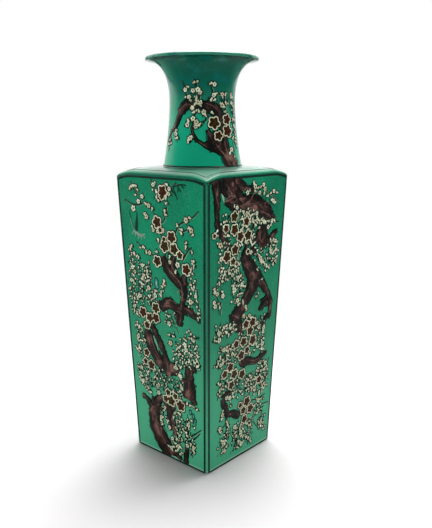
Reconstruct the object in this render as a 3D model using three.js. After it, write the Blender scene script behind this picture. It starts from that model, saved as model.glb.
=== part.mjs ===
// A square porcelain vase built from slabs, in millimetres, +Z up, standing on z = 0 with its axis on Z.
// Four tapering wall slabs meet in mitres. A base slab and four foot strips close the bottom, rolls of clay
// back every inner joint, a domed shoulder plate caps the walls, and a wheel-thrown neck with a trumpet
// mouth sits in the shoulder's hole on a stepped spigot. Every luted joint keeps one thin gap for its slip.
import * as THREE from "three";

// Overall form
const totalHeight = 490;
const baseHalfWidth = 61.5; // outer half width of the square body at the table
const shoulderHalfWidth = 74.7; // the same where the walls end
const wallHeight = 355.6; // height of a wall at the middle of its top edge
const wallThickness = 7;
const cornerRadius = 3.2; // rounding of the four upright edges
const cornerDrop = 5.2; // how far a wall's top edge falls at its ends
const cornerReach = 30; // length of edge over which it falls
const footChamfer = 1.2;

// Joints
const slip = 0.3; // thickness of a luted joint

// Bottom
const footHeight = 5;
const footWidth = 8;
const baseThickness = 8;
const rollLeg = 5; // leg of the clay rolls pressed into the inner joints
const rollHollow = 0.38; // how full the rolls' finger-smoothed faces are, as a share of the leg

// Shoulder plate
const shoulderThickness = 7;
const edgeRollHeight = 4.6; // rise of the rolled edge above the wall
const edgeRollDepth = 5.5; // how far that roll reaches inwards
const collarHeight = 363.8; // height of the flat seat round the hole
const collarMargin = 1; // width of the seat left outside the neck
const vaultReach = 0.45; // the hollow underside bends this far in from the walls, as a share,
const vaultRise = 0.8; // and has risen by this share there

// Neck
const neckBaseRadius = 47.3;
const waistRadius = 38.9;
const waistHeight = 441;
const mouthRadius = 67.2;
const neckThickness = 7.4; // wall at the neck's base, thinning steadily to the lip
const lipThickness = 2.8;
const seatWidth = 3.2; // width of the shelf that rests on the shoulder's seat
const spigotDepth = 5.6;
const neckSweep = 1.7; // power of the curve from the base to the waist
const flareSweep = 2.25; // power of the curve from the waist to the lip, above 2 for a tight turn

// Fineness of the curved forms
const sideSteps = 20;
const cornerSteps = 4;
const rollSteps = 4;
const domeSteps = 4;
const neckSegments = 56;
const lowerNeckSteps = 9;
const flareSteps = 12;
const lipSteps = 5;

const glaze = { color: 0x0f7d5e, roughness: 0.15 };
const biscuit = { color: 0xcfc8b8, roughness: 0.85 };

const spigotRadius = neckBaseRadius - seatWidth;
const floorLevel = footHeight + slip + baseThickness; // top of the base slab

const halfWidthAt = (z) => baseHalfWidth + ((shoulderHalfWidth - baseHalfWidth) * z) / wallHeight;
const reachInside = (z) => halfWidthAt(z) - wallThickness - slip; // of a piece that lies against the walls

// Height of a wall's top edge, at a distance from the sharp corner along the edge.
function edgeHeight(fromCorner) {
  const near = Math.max(0, 1 - fromCorner / cornerReach);
  return wallHeight - cornerDrop * near * near;
}

// Plan points of one side of a rounded square of half width 1, from mitre to mitre, on the -Y side.
// Each has its x in half widths, the offset that the outer rounding gives it, and the one on the inner face.
function sideOutline() {
  const points = [];
  const corner = (sign, angle) => {
    const x = sign * (-1 + Math.sin(angle));
    const y = 1 - Math.cos(angle);
    const back = -sign * (1 - (4 * angle) / Math.PI);
    return { x: sign, dx: x * cornerRadius, dy: y * cornerRadius, sharp: back * cornerRadius };
  };
  for (let i = 0; i < cornerSteps; i++) {
    points.push(corner(-1, (Math.PI / 4) * (1 - i / cornerSteps)));
  }
  for (let i = 0; i <= sideSteps; i++) {
    const along = -Math.cos((Math.PI * i) / sideSteps); // closer together where the edge falls
    points.push({ x: along, dx: -along * cornerRadius, dy: 0, sharp: -along * cornerRadius });
  }
  for (let i = cornerSteps - 1; i >= 0; i--) {
    points.push(corner(1, (Math.PI / 4) * (1 - i / cornerSteps)));
  }
  return points;
}

// A point of that outline on a wall's outer face at height z, or a little inside it.
function outlineAt(point, z, tuck = 0) {
  const half = halfWidthAt(z) - tuck;
  return new THREE.Vector2(point.x * half + point.dx, -half + point.dy);
}

// The matching point on the wall's inner face, whose corners are sharp.
function innerAt(point, z) {
  const half = halfWidthAt(z) - wallThickness;
  return new THREE.Vector2(point.x * half + point.sharp, -half);
}

// Height at which an outline point meets the wall's top edge.
function topOf(point) {
  const at = outlineAt(point, wallHeight);
  return edgeHeight(shoulderHalfWidth - Math.abs(at.x));
}

// Joins sections, each the same number of points in a closed loop, into one closed body facing out.
function skinOver(sections, closesOnItself) {
  const count = sections[0].length;
  const positions = sections.flat().flatMap((p) => [p.x, p.y, p.z]);
  const faces = [];
  const spans = closesOnItself ? sections.length : sections.length - 1;
  for (let s = 0; s < spans; s++) {
    const here = s * count;
    const next = ((s + 1) % sections.length) * count;
    for (let i = 0; i < count; i++) {
      const j = (i + 1) % count;
      faces.push(here + i, next + i, next + j, here + i, next + j, here + j);
    }
  }
  if (!closesOnItself) {
    const last = (sections.length - 1) * count;
    for (let i = 1; i < count - 1; i++) {
      faces.push(0, i, i + 1, last, last + i + 1, last + i);
    }
  }
  const geometry = new THREE.BufferGeometry();
  geometry.setAttribute("position", new THREE.Float32BufferAttribute(positions, 3));
  geometry.setIndex(faces);
  return facingOut(geometry);
}

// Turns a closed geometry's faces over where its signed volume is negative.
function facingOut(geometry) {
  const at = geometry.getAttribute("position");
  const index = geometry.getIndex();
  const [a, b, c] = [new THREE.Vector3(), new THREE.Vector3(), new THREE.Vector3()];
  let volume = 0;
  for (let i = 0; i < index.count; i += 3) {
    a.fromBufferAttribute(at, index.getX(i));
    b.fromBufferAttribute(at, index.getX(i + 1));
    c.fromBufferAttribute(at, index.getX(i + 2));
    volume += a.dot(b.cross(c));
  }
  if (volume < 0) {
    for (let i = 0; i < index.count; i += 3) {
      const kept = index.getX(i + 1);
      index.setX(i + 1, index.getX(i + 2));
      index.setX(i + 2, kept);
    }
  }
  geometry.computeVertexNormals();
  return geometry;
}

// One wall slab on the -Y side: sections across its thickness, swept from mitre to mitre.
function wallGeometry() {
  const outline = sideOutline();
  const sections = outline.map((point, i) => {
    const top = topOf(point);
    const atEnd = i === 0 || i === outline.length - 1;
    const back = atEnd ? slip / 2 / Math.SQRT2 : 0;
    const place = (at, z) => new THREE.Vector3(at.x - Math.sign(point.x) * back, at.y - back, z);
    return [
      place(outlineAt(point, 0, footChamfer), 0),
      place(outlineAt(point, footChamfer), footChamfer),
      place(outlineAt(point, top), top),
      place(innerAt(point, top), top),
      place(innerAt(point, 0), 0),
    ];
  });
  return skinOver(sections, false);
}

// The base slab: a square plate between the walls, its edges following their slope.
function baseGeometry() {
  const bottom = footHeight + slip;
  const square = (z) => {
    const half = reachInside(z);
    return [
      new THREE.Vector3(-half, -half, z),
      new THREE.Vector3(half, -half, z),
      new THREE.Vector3(half, half, z),
      new THREE.Vector3(-half, half, z),
    ];
  };
  return skinOver([square(bottom), square(bottom + baseThickness)], false);
}

// A strip along the -Y wall with mitred ends. Its section is a list of heights and distances from the wall.
function stripGeometry(section) {
  const end = (sign) =>
    section.map(([z, inset]) => {
      const y = reachInside(z) - inset;
      return new THREE.Vector3(sign * (y - slip / Math.SQRT2), -y, z);
    });
  return skinOver([end(-1), end(1)], false);
}

// A foot strip, level with the walls' feet.
function footGeometry() {
  return stripGeometry([
    [0, 0],
    [footHeight, 0],
    [footHeight, footWidth],
    [0, footWidth],
  ]);
}

// A roll of clay along the inner joint of the base slab and a wall.
function baseRollGeometry() {
  const bottom = floorLevel + slip;
  const hollow = rollLeg * rollHollow;
  return stripGeometry([
    [bottom, 0],
    [bottom + rollLeg, 0],
    [bottom + hollow, hollow],
    [bottom, rollLeg],
  ]);
}

// A roll of clay up the inner corner between the -Y wall and the +X wall.
function cornerRollGeometry() {
  const bottom = floorLevel + slip + rollLeg + slip;
  const top = wallHeight - cornerDrop - slip;
  const section = (z) => {
    const y = reachInside(z);
    const hollow = rollLeg * rollHollow;
    return [
      new THREE.Vector3(y, -y, z),
      new THREE.Vector3(y, -(y - rollLeg), z),
      new THREE.Vector3(y - hollow, -(y - hollow), z),
      new THREE.Vector3(y - rollLeg, -y, z),
    ];
  };
  return skinOver([section(bottom), section(top)], false);
}

// The shoulder plate: sections from its rolled edge over the dome to the hole and back under, all round.
function shoulderGeometry() {
  const hole = spigotRadius + slip;
  const sections = [];
  for (let side = 0; side < 4; side++) {
    const turn = (side * Math.PI) / 2;
    const outline = sideOutline().slice(0, -1); // the last point is the next side's first
    outline.forEach((point) => {
      const seat = topOf(point) + slip;
      const outer = outlineAt(point, seat).rotateAround(new THREE.Vector2(), turn);
      const reach = outer.length();
      const toAxis = outer.clone().divideScalar(-reach);
      const crest = seat + edgeRollHeight;
      const section = [];
      const place = (inset, z) => {
        section.push(new THREE.Vector3(outer.x + toAxis.x * inset, outer.y + toAxis.y * inset, z));
      };
      for (let i = 0; i <= rollSteps; i++) {
        const turned = ((Math.PI / 2) * i) / rollSteps;
        place(edgeRollDepth * (1 - Math.cos(turned)), seat + edgeRollHeight * Math.sin(turned));
      }
      const collar = reach - neckBaseRadius - collarMargin;
      for (let i = 1; i <= domeSteps; i++) {
        const t = i / domeSteps;
        const rise = Math.sin((Math.PI / 2) * t);
        place(edgeRollDepth + (collar - edgeRollDepth) * t, crest + (collarHeight - crest) * rise);
      }
      place(reach - hole, collarHeight);
      const ceiling = collarHeight - shoulderThickness;
      const bearing = (reach * wallThickness) / halfWidthAt(seat);
      const vault = bearing + (reach - hole - bearing) * vaultReach;
      place(reach - hole, ceiling);
      place(vault, seat + (ceiling - seat) * vaultRise);
      place(bearing, seat);
      sections.push(section);
    });
  }
  return skinOver(sections, true);
}

// Outer radius of the thrown neck at a height up to its waist.
function lowerNeckRadius(z) {
  const down = (waistHeight - z) / (waistHeight - collarHeight);
  return waistRadius + (neckBaseRadius - waistRadius) * Math.pow(down, neckSweep);
}

// The neck: a closed profile turned about the axis, from the spigot up the outside, over the lip and down.
function neckGeometry() {
  const seat = collarHeight + slip;
  const lipRadius = lipThickness / 2;
  const lipHeight = totalHeight - lipRadius;
  const outside = [];
  for (let i = 0; i <= lowerNeckSteps; i++) {
    const z = seat + ((waistHeight - seat) * i) / lowerNeckSteps;
    outside.push(new THREE.Vector2(lowerNeckRadius(z), z));
  }
  const spread = mouthRadius - lipRadius - waistRadius;
  const climb = totalHeight - lipThickness - waistHeight;
  for (let i = 1; i <= flareSteps; i++) {
    const angle = ((Math.PI / 2) * i) / flareSteps;
    const across = Math.pow(Math.max(0, Math.cos(angle)), 2 / flareSweep);
    const up = Math.pow(Math.sin(angle), 2 / flareSweep);
    outside.push(new THREE.Vector2(waistRadius + spread * (1 - across), waistHeight + climb * up));
  }
  const lip = [];
  for (let i = 1; i < lipSteps; i++) {
    const angle = -Math.PI / 2 + (Math.PI * i) / lipSteps;
    lip.push(
      new THREE.Vector2(
        mouthRadius - lipRadius + lipRadius * Math.cos(angle),
        lipHeight + lipRadius * Math.sin(angle),
      ),
    );
  }
  const inside = outside.map((p, i) => {
    const before = outside[Math.max(0, i - 1)];
    const after = outside[Math.min(outside.length - 1, i + 1)];
    const along = after.clone().sub(before).normalize();
    const share = i / (outside.length - 1);
    const wall = neckThickness + (lipThickness - neckThickness) * share;
    return new THREE.Vector2(p.x - along.y * wall, p.y + along.x * wall);
  });
  inside[inside.length - 1].set(outside[outside.length - 1].x, totalHeight);
  const spigotFoot = seat - spigotDepth;
  const bore = inside[0].x;
  const profile = [
    new THREE.Vector2(bore, spigotFoot),
    new THREE.Vector2(spigotRadius, spigotFoot),
    new THREE.Vector2(spigotRadius, seat),
    ...outside,
    ...lip,
    ...inside.reverse(),
    new THREE.Vector2(bore, spigotFoot),
  ];
  const geometry = new THREE.LatheGeometry(profile, neckSegments);
  geometry.rotateX(Math.PI / 2);
  return geometry;
}

const vase = new THREE.Group();

function add(name, geometry, finish, turn = 0) {
  const material = new THREE.MeshStandardMaterial({ ...finish, metalness: 0 });
  const mesh = new THREE.Mesh(geometry, material);
  mesh.name = name;
  mesh.rotation.z = turn;
  vase.add(mesh);
}

const sides = ["front", "right", "back", "left"];
sides.forEach((side, i) => {
  const next = sides[(i + 1) % sides.length];
  const turn = (i * Math.PI) / 2;
  add(`wall_${side}`, wallGeometry(), glaze, turn);
  add(`foot_strip_${side}`, footGeometry(), biscuit, turn);
  add(`base_roll_${side}`, baseRollGeometry(), biscuit, turn);
  add(`corner_roll_${side}_${next}`, cornerRollGeometry(), biscuit, turn);
});
add("base_slab", baseGeometry(), biscuit);
add("shoulder", shoulderGeometry(), glaze);
add("neck", neckGeometry(), glaze);

export default vase;
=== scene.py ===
# A square vase under a green lead glaze, painted with flowering prunus, dressed over its solids.
# Lengths are in millimetres until a mesh is made. The vase stands on z = 0 with its axis on Z.
import math
import random
from functools import partial

import bpy
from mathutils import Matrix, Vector, noise as perlin


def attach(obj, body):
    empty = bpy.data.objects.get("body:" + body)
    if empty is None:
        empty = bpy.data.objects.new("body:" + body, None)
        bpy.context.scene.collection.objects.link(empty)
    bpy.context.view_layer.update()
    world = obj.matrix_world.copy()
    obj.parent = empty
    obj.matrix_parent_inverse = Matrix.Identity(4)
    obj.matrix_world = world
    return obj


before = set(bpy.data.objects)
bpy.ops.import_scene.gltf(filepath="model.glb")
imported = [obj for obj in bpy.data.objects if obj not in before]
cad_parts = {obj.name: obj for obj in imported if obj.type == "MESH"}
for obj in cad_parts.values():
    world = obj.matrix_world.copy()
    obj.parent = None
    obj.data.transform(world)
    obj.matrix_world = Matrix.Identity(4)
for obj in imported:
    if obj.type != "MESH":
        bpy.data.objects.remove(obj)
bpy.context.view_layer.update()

MM = 0.001

# Form of the solids
TOTAL_HEIGHT = 490
BASE_HALF = 61.5
SHOULDER_HALF = 74.7
WALL_HEIGHT = 355.6
CORNER_RADIUS = 3.2
CORNER_DROP = 5.2
CORNER_REACH = 30
SLIP = 0.3
EDGE_ROLL_HEIGHT = 4.6
EDGE_ROLL_DEPTH = 5.5
COLLAR_HEIGHT = 363.8
COLLAR_RADIUS = 48.3
NECK_BASE_RADIUS = 47.3
WAIST_RADIUS = 38.9
WAIST_HEIGHT = 441
MOUTH_RADIUS = 67.2
NECK_WALL = 7.4
LIP_WALL = 2.8
LIP_RADIUS = LIP_WALL / 2
NECK_SWEEP = 1.7
FLARE_SWEEP = 2.25
FLARE_SPREAD = MOUTH_RADIUS - LIP_RADIUS - WAIST_RADIUS
FLARE_CLIMB = TOTAL_HEIGHT - LIP_WALL - WAIST_HEIGHT
SPIGOT_FOOT = 358.5
WAIST_SHARE = 3 / 7  # of the neck wall's thinning, done at the waist

# Glaze coat, with the rings of its mesh by height or by depth below the wall's top
COAT = 0.35
COAT_SHELL = 0.25
COAT_START = 0.9
FOOT_RINGS = (2.3, 3.3, 4.4, 5.6)
TOP_RINGS = (4, 2.4, 1.2, 0)
NECK_COAT_START = COLLAR_HEIGHT + 2.2
COLLAR_RINGS = ((COLLAR_RADIUS - 0.2, COLLAR_HEIGHT + 0.7), (NECK_BASE_RADIUS + 0.35, COLLAR_HEIGHT + 1.4))

# Thin, pale glaze with painted highlight, and pooled, dark glaze with painted shade: shares from 0 to 1, and
# the reach over which they fade
COLLAR_THIN = 0.3
RIM_THIN = 0.3
# Thin glaze on the corner ridges, brightened further into a painted highlight
CORNER_THIN_AND_HIGHLIGHT, CORNER_HIGHLIGHT_REACH = 0.7, 1.1
FOOT_THIN, FOOT_THIN_HEIGHT, FOOT_THIN_REACH = 0.75, 3.5, 1.5
LIP_THIN, LIP_THIN_REACH = 0.75, 9
LIP_EDGE_THIN = 0.35
# Painted highlight and reflection rising up the rolled edge and over the dome, with thin glaze on the crest,
# and painted shade on the roll's lower half
ROLL_THIN_HIGHLIGHT_POWER = 1.8
DOME_HIGHLIGHT_LOSS = 0.25
ROLL_SHADE, ROLL_SHADE_LOSS = 0.9, 2.4
# Painted shade in the crease at the wall's top under the rolled edge
WALL_TOP_SHADE, WALL_TOP_SHADE_REACH = 0.5, 1.3
CORNER_POOL, CORNER_POOL_REACH = 0.4, 3.4
CORNER_POOL_FULL = 0.8  # of the reach, within which the pool is at its full share
CORNER_POOL_FROM, CORNER_POOL_CLIMB = 50, 90
# Painted light on the flare's sides and painted shade on it toward the camera, coming in over this span of
# height
FLARE_SIDE_LIGHT, FLARE_SHADE = 0.3, 0.95
FLARE_LIGHTING_FROM, FLARE_LIGHTING_FULL = 425, 468
FRONT_CORNER = Vector((0.7071, -0.7071, 0))  # the diagonal toward the camera: along it the flare and lip get painted shade, and to their sides painted light
FACING_FROM, FACING_REACH = 0.2, 0.55
LIP_BAND = 2.2 * LIP_RADIUS
# In the lip's band, painted shade along that diagonal takes away this share of the pale glaze
LIP_BAND_SHADE = 0.85

# Fineness of the meshes
SIDE_STEPS = 32
CORNER_STEPS = 5
WALL_RINGS = 30
ROLL_STEPS = 8
DOME_STEPS = 10
NECK_RINGS = 34
FLARE_RINGS = 26
LIP_STEPS = 8
BORDER_STEPS = 60

# Painting
PAINT_RADIUS = 42  # the neck's painting is laid out flat at this radius
LINE_WIDTH = 3.2
# The bottom border line lies at the foot and is widened so that it is also a painted contact shadow there
FOOT_LINE_AND_SHADOW_WIDTH = 0.8 * LINE_WIDTH
LINE_INSET = 3.5
FOOT_LINE_AND_SHADOW = 1.5
LOWEST_PAINT = 2.6
NECK_LINE = COLLAR_HEIGHT + 1.6
TOP_LINES = (1.9, 0.8, 1.9, 0.8)  # below the walls' tops, side by side
TOP_LINE = TOP_LINES[0]
SIDE_LINE_TONE = 0.6
TOP_LINE_TONE = 0.5
BUD_SCALE = 1.08
COMMON_BUD = 1.8
SCATTER_DENSITY = 1.7

# Layers of enamel: where a stroke's edge lies over the glaze and how far its middle rises above that
BORDER = (0.05, 0.05)
BRANCH_EDGE = (0.08, 0.02)
BRANCH = (0.13, 0.22)
STUB = (0.12, 0.16)
CRACK = (0.36, 0.08)
VEIN = (0.36, 0.1)
TWIG = (0.08, 0.06)
TWIG_LIGHT = (0.09, 0.05)
STALK = (0.08, 0.05)
FLECK = (0.07, 0.05)
PALE_LEAF = (0.12, 0.08)
DARK_LEAF = (0.1, 0.06)
SLIVER = (0.1, 0.1)
WING = (0.1, 0.08)
BIRD = (0.12, 0.1)
BLUE_DAB = (0.1, 0.12)
BLUE_LIGHT = (0.26, 0.04)
CALYX = (0.1, 0.1)
WHISKER = (0.1, 0.05)
PETAL_EDGE = (0.36, 0.02)
PETAL = (0.43, 0.14)
BUD_HEART = (0.42, 0.04)
BLOSSOM = (0.44, 0.04)
BLOSSOM_HEART = (0.5, 0.08)


def clamp(value):
    return min(1.0, max(0.0, value))


def spaced(low, high, steps):
    """Numbers from low to high in equal steps, with both ends."""
    return [low + (high - low) * i / steps for i in range(steps + 1)]


def around(count):
    """Equal steps of angle round a circle."""
    return [2 * math.pi * i / count for i in range(count)]


def polar(x, y, angle, reach):
    """The point at a reach from (x, y) in the direction of an angle."""
    return x + reach * math.cos(angle), y + reach * math.sin(angle)


def direction(points, i):
    """Unit vector along flat points at number i, from the neighbours to either side."""
    x0, y0 = points[max(0, i - 1)][:2]
    x1, y1 = points[min(len(points) - 1, i + 1)][:2]
    size = math.hypot(x1 - x0, y1 - y0) or 1.0
    return (x1 - x0) / size, (y1 - y0) / size


def travel(path, start=0.0):
    """How far along a path each of its points lies."""
    lengths = [start]
    for (x0, y0, *_), (x1, y1, *_) in zip(path, path[1:]):
        lengths.append(lengths[-1] + math.hypot(x1 - x0, y1 - y0))
    return lengths


def resampled(points, step):
    first, last = points[0], points[-1]
    pieces = max(1, round(math.hypot(last[0] - first[0], last[1] - first[1]) / step))
    return [tuple(a + (b - a) * k / pieces for a, b in zip(first, last)) for k in range(pieces + 1)]


def between(a, b, c, d, t):
    """A Catmull-Rom curve's value at t of the way from b to c."""
    square = 2 * a - 5 * b + 4 * c - d
    cube = 3 * b - a - 3 * c + d
    return 0.5 * (2 * b + (c - a) * t + square * t * t + cube * t ** 3)


def smooth_path(points, step):
    """A smooth curve through points of any number of values, sampled about every step."""
    count = len(points)
    if count < 3:
        return resampled(points, step)
    fine = []
    for i in range(count - 1):
        here, there = points[i], points[i + 1]
        near = (points[max(0, i - 1)], here, there, points[min(count - 1, i + 2)])
        pieces = max(1, round(math.hypot(there[0] - here[0], there[1] - here[1]) / step))
        for k in range(pieces):
            fine.append(tuple(between(*values, k / pieces) for values in zip(*near)))
    fine.append(tuple(points[-1]))
    return fine


# Form of the vase

def half_at(z):
    return BASE_HALF + (SHOULDER_HALF - BASE_HALF) * z / WALL_HEIGHT


def edge_height(from_corner):
    near = max(0.0, 1 - from_corner / CORNER_REACH)
    return WALL_HEIGHT - CORNER_DROP * near * near


def turned(x, y, quarter):
    """A plan point turned by quarters of a circle about the axis."""
    for _ in range(quarter % 4):
        x, y = -y, x
    return x, y


def face_point(side, u, z, lift):
    """A point on the glaze of side 0 to 3 (front, right, back, left), u across it and z up."""
    half = half_at(z)
    flat = half - CORNER_RADIUS
    out = COAT + lift
    if abs(u) <= flat:
        x, y = u, -half - out
    else:
        angle = min((abs(u) - flat) / CORNER_RADIUS, math.pi / 4)
        reach = CORNER_RADIUS + out
        x = math.copysign(flat + reach * math.sin(angle), u)
        y = -flat - reach * math.cos(angle)
    return Vector((*turned(x, y, side), z))


def painted_face(side, u, z, lift):
    """A side's surface on which what reaches the border stops under its lines."""
    z = max(z, LOWEST_PAINT)
    reach = half_at(z) - LINE_INSET
    u = max(-reach, min(reach, u))
    return face_point(side, u, min(z, edge_height(half_at(z) - abs(u)) - TOP_LINES[side]), lift)


def neck_radius(z):
    if z <= WAIST_HEIGHT:
        down = (WAIST_HEIGHT - z) / (WAIST_HEIGHT - COLLAR_HEIGHT)
        return WAIST_RADIUS + (NECK_BASE_RADIUS - WAIST_RADIUS) * down ** NECK_SWEEP
    up = min(1.0, (z - WAIST_HEIGHT) / FLARE_CLIMB)
    return WAIST_RADIUS + FLARE_SPREAD * (1 - max(0.0, 1 - up ** FLARE_SWEEP) ** (1 / FLARE_SWEEP))


def neck_point(x, z, lift):
    """A point on the neck's glaze, x being the arc at the painting's radius from the +X direction."""
    slope = neck_radius(z + 0.5) - neck_radius(z - 0.5)
    size = math.hypot(1, slope)
    out = COAT + lift
    radius = neck_radius(z) + out / size
    angle = x / PAINT_RADIUS
    return Vector((radius * math.cos(angle), radius * math.sin(angle), z - out * slope / size))


def painted_neck(shift, x, z, lift):
    """The neck's surface above its line, with the painting shifted round it."""
    return neck_point(x + shift, max(z, NECK_LINE), lift)


def body_outline():
    """Outline points of all sides, each with its side.

    A point has x as a share of the half width, and the dx and dy of the corner's rounding.
    """
    arc = []
    for i in range(CORNER_STEPS):
        angle = math.pi / 4 * (1 - i / CORNER_STEPS)
        arc.append(((math.sin(angle) - 1) * CORNER_RADIUS, (1 - math.cos(angle)) * CORNER_RADIUS))
    points = [(-1, -dx, dy) for dx, dy in arc]
    for angle in spaced(0, math.pi, SIDE_STEPS):
        along = -math.cos(angle)
        points.append((along, -along * CORNER_RADIUS, 0.0))
    points += [(1, dx, dy) for dx, dy in arc[:0:-1]]
    return [(point, side) for side in range(4) for point in points]


def outline_at(point, z):
    half = half_at(z)
    return point[0] * half + point[1], -half + point[2]


def top_of(point):
    return edge_height(SHOULDER_HALF - abs(outline_at(point, WALL_HEIGHT)[0]))


def shoulder_section(point, side, lift=0.0):
    """Points from the wall's top over the rolled edge and the dome to the neck, for one outline point."""
    seat = top_of(point) + SLIP
    x, y = turned(*outline_at(point, seat), side)
    reach = math.hypot(x, y)
    crest = seat + EDGE_ROLL_HEIGHT
    flat = []
    for angle in spaced(0, math.pi / 2, ROLL_STEPS):
        flat.append((EDGE_ROLL_DEPTH * (1 - math.cos(angle)), seat + EDGE_ROLL_HEIGHT * math.sin(angle)))
    for t in spaced(0, 1, DOME_STEPS)[1:]:
        inset = EDGE_ROLL_DEPTH + (reach - COLLAR_RADIUS - EDGE_ROLL_DEPTH) * t
        flat.append((inset, crest + (COLLAR_HEIGHT - crest) * math.sin(math.pi / 2 * t)))
    placed = []
    for i, (inset, z) in enumerate(flat):
        run, rise = direction(flat, i)
        scale = (reach - inset + (COAT + lift) * rise) / reach
        placed.append(Vector((x * scale, y * scale, z + (COAT + lift) * run)))
    return placed


# Meshes

def new_object(name, data):
    piece = bpy.data.objects.new(name, data)
    bpy.context.scene.collection.objects.link(piece)
    return piece


def make_object(name, vertices, faces, material, attributes=None):
    mesh = bpy.data.meshes.new(name)
    mesh.from_pydata([tuple(v * MM) for v in vertices], [], faces)
    for key, values in (attributes or {}).items():
        layer = mesh.attributes.new(key, "FLOAT", "POINT")
        layer.data.foreach_set("value", values)
    mesh.validate()
    mesh.update()
    for polygon in mesh.polygons:
        polygon.use_smooth = True
    mesh.materials.append(material)
    piece = new_object(name, mesh)
    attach(piece, "root")
    return piece


class Enamel:
    """Raised strokes and dabs of one enamel, gathered into one piece. Places are flat, in millimetres."""

    BELOW = -0.15
    SHOULDER = 0.86

    def __init__(self, surface):
        self.surface = surface
        self.vertices = []
        self.faces = []
        self.values = {"along": [], "across": [], "tone": []}

    def vertex(self, x, y, lift, *values):
        self.vertices.append(self.surface(x, y, lift))
        for layer, value in zip(self.values.values(), values):
            layer.append(value)
        return len(self.vertices) - 1

    def stroke(self, path, layer, columns=1, tone=0.0, seed=0.0, lumps=0.0, crown=0.0):
        """A low closed ridge along (x, y, width) or (x, y, right, left) points."""
        base, dome = layer
        profile = [(a * self.SHOULDER, base + dome * (1 - a * a)) for a in spaced(-1, 1, columns)]
        profile = [(-1.0, self.BELOW), *profile, (1.0, self.BELOW)]
        rows = []
        for i, ((x, y, *reach), travelled) in enumerate(zip(path, travel(path, seed))):
            right, left = reach if len(reach) == 2 else (reach[0] / 2, reach[0] / 2)
            dx, dy = direction(path, i)
            row = []
            for a, lift in profile:
                offset = a * (left if a > 0 else right)
                if lumps and lift > 0:
                    lift += lumps * perlin.noise(Vector((travelled / 5, offset / 1.8, seed)))
                shade = tone + crown * (1 - a * a)
                row.append(self.vertex(x - dy * offset, y + dx * offset, lift, travelled, offset, shade))
            rows.append(row)
        for here, there in zip(rows, rows[1:]):
            for c in range(len(profile) - 1):
                self.faces.append((here[c], there[c], there[c + 1], here[c + 1]))
            self.faces.append((here[0], here[-1], there[-1], there[0]))
        self.faces.append(tuple(rows[0]))
        self.faces.append(tuple(reversed(rows[-1])))

    def dab(self, x, y, outline, layer, tone=0.0, rings=(0.86,), turn=0.0):
        """A low pillow with a closed underside. outline is a count of points and a radius for an angle."""
        count, radius = outline
        base, dome = layer
        loops = []
        for share in (1.0, *rings):
            lift = self.BELOW if share == 1.0 else base + dome * (1 - share * share)
            loop = []
            for angle in around(count):
                place = polar(x, y, angle + turn, radius(angle) * share)
                loop.append(self.vertex(*place, lift, share, angle, tone))
            loops.append(loop)
        top = self.vertex(x, y, base + dome, 0.0, 0.0, tone)
        for outer, inner in zip(loops, loops[1:]):
            for i in range(count):
                j = (i + 1) % count
                self.faces.append((outer[i], outer[j], inner[j], inner[i]))
        for i in range(count):
            self.faces.append((loops[-1][i], loops[-1][(i + 1) % count], top))
        self.faces.append(tuple(reversed(loops[0])))

    def piece(self, name, material, slot):
        if self.vertices:
            make_object(name, self.vertices, self.faces, material, self.values)


# Materials

class Shading:
    """The nodes of a material or of the world."""

    def __init__(self, owner):
        self.owner = owner
        owner.use_nodes = True
        self.nodes = owner.node_tree.nodes

    def feed(self, node, inputs):
        """Link outputs of other nodes to a node's inputs, or set numbers, vectors and colours on them."""
        for key, value in inputs.items():
            socket = node.inputs[key]
            if isinstance(value, bpy.types.NodeSocket):
                self.owner.node_tree.links.new(value, socket)
            else:
                socket.default_value = (*value, 1) if socket.type == "RGBA" else value

    def node(self, kind, inputs, output=0, operation=None):
        node = self.nodes.new("ShaderNode" + kind)
        if operation:
            node.operation = operation
        self.feed(node, inputs)
        return node.outputs[output]

    def coordinate(self, kind="Object"):
        return self.node("TexCoord", {}, kind)

    def noise(self, scale, detail=3.0, roughness=0.5, vector=None):
        place = vector or self.coordinate()
        inputs = {"Vector": place, "Scale": scale, "Detail": detail, "Roughness": roughness}
        return self.node("TexNoise", inputs, "Fac")

    def mapped(self, vector, scale):
        return self.node("Mapping", {"Vector": vector, "Scale": scale})

    def ramp(self, value, stops):
        """A colour ramp through stops of a place and a colour, or a place and a level of grey."""
        node = self.nodes.new("ShaderNodeValToRGB")
        elements = node.color_ramp.elements
        while len(elements) < len(stops):
            elements.new(0.5)
        for element, (at, color) in zip(elements, stops):
            element.position = at
            element.color = (*color, 1) if isinstance(color, tuple) else (color, color, color, 1)
        self.feed(node, {"Fac": value})
        return node.outputs["Color"]

    def mix(self, factor, first, second):
        node = self.nodes.new("ShaderNodeMix")
        node.data_type = "RGBA"
        self.feed(node, {0: factor, 6: first, 7: second})
        return node.outputs[2]

    def mix_shader(self, factor, first, second):
        return self.node("MixShader", {"Fac": factor, 1: first, 2: second})

    def attribute(self, name):
        node = self.nodes.new("ShaderNodeAttribute")
        node.attribute_name = name
        return node.outputs["Fac"]

    def smooth_step(self, value, low, high):
        node = self.nodes.new("ShaderNodeMapRange")
        node.interpolation_type = "SMOOTHSTEP"
        self.feed(node, {"From Min": low, "From Max": high, "Value": value})
        return node.outputs["Result"]

    def height_share(self, low, high, vector=None):
        """0 at height low and 1 at height high, in metres."""
        height = self.node("SeparateXYZ", {"Vector": vector or self.coordinate()}, "Z")
        return self.smooth_step(height, low, high)

    def surface(self, color, rough, relief, strength, depth):
        """The material, given its colour, roughness and fine relief."""
        normal = self.node("Bump", {"Height": relief, "Strength": strength, "Distance": depth})
        shader = self.nodes["Principled BSDF"]
        self.feed(shader, {"Base Color": color, "Roughness": rough, "Normal": normal})
        return self.owner


def new_material(name):
    return Shading(bpy.data.materials.new(name))


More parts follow.
